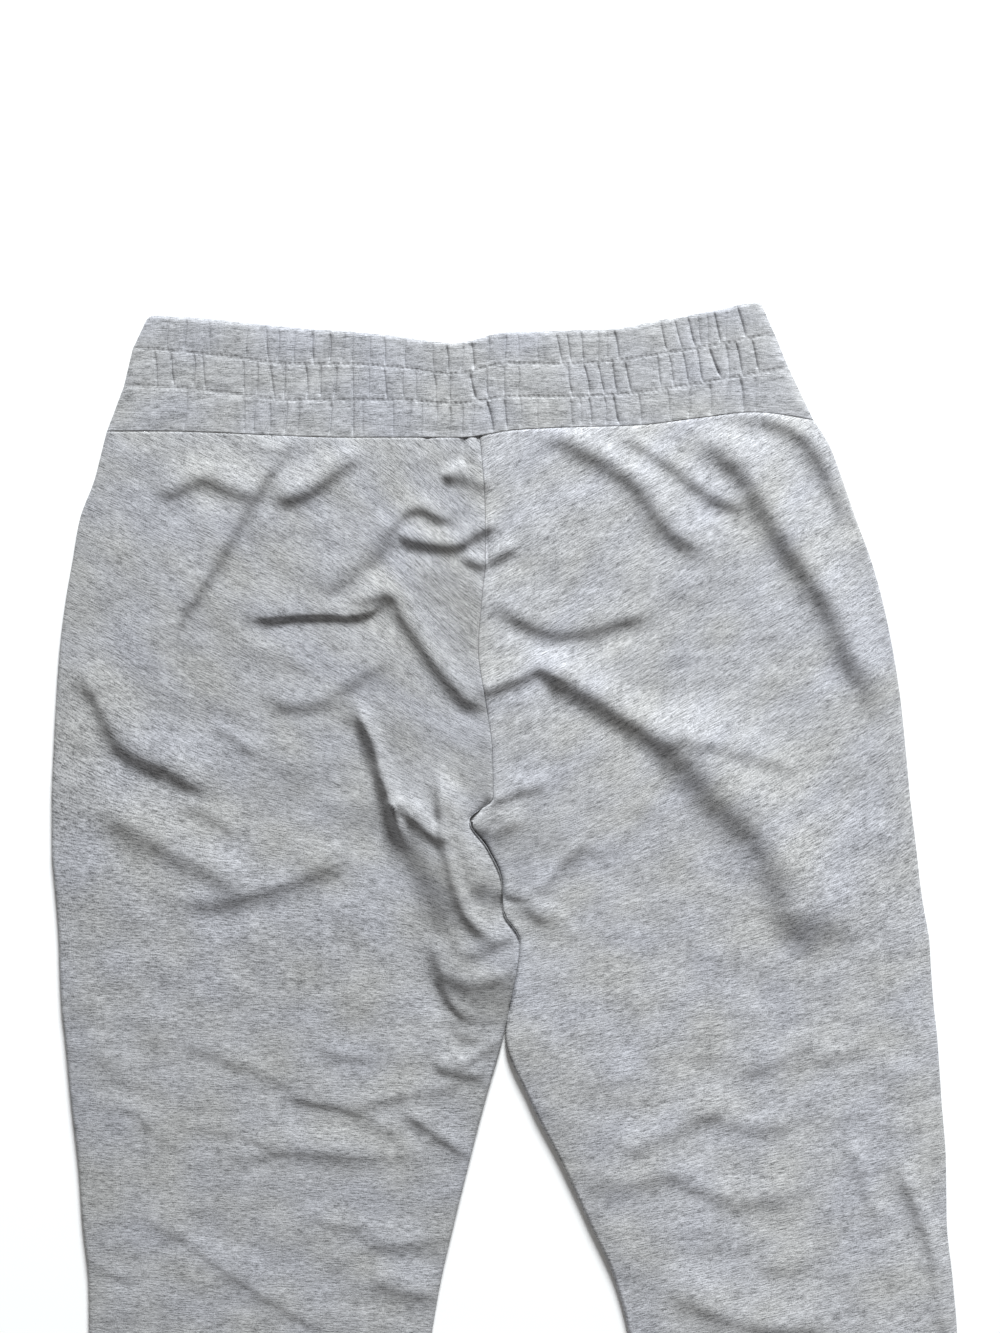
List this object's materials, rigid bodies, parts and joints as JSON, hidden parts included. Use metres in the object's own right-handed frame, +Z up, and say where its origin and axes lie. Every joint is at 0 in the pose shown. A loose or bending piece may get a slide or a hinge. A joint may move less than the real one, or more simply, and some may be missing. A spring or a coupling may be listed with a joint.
{
  "type": "jogger sweatpants",
  "caption": "Fleece jogger sweatpants laid flat with the back up: wide channelled elastic waistband, tapering legs and rib cuffs.",
  "frame": {"origin": "middle of the underside, on the surface that the garment lies on", "axes": "+Y from the cuffs to the waist, +X to the right as seen from above with the waist up, +Z up"},
  "size_m": [0.5196, 0.985, 0.0171],
  "materials": {
    "fleece": "light grey heather cotton fleece, matt and slightly napped",
    "waistband": "the same heather fleece gathered over elastic in stitched channels",
    "rib": "light grey heather rib knit, matt"
  },
  "bodies": {
    "root": {"waistband_back": "waistband", "waistband_front": "waistband", "back_left": "fleece", "back_right": "fleece", "front_left": "fleece", "front_right": "fleece", "cuff_left_upper": "rib", "cuff_left_lower": "rib", "cuff_right_upper": "rib", "cuff_right_lower": "rib"}
  },
  "joints": []
}
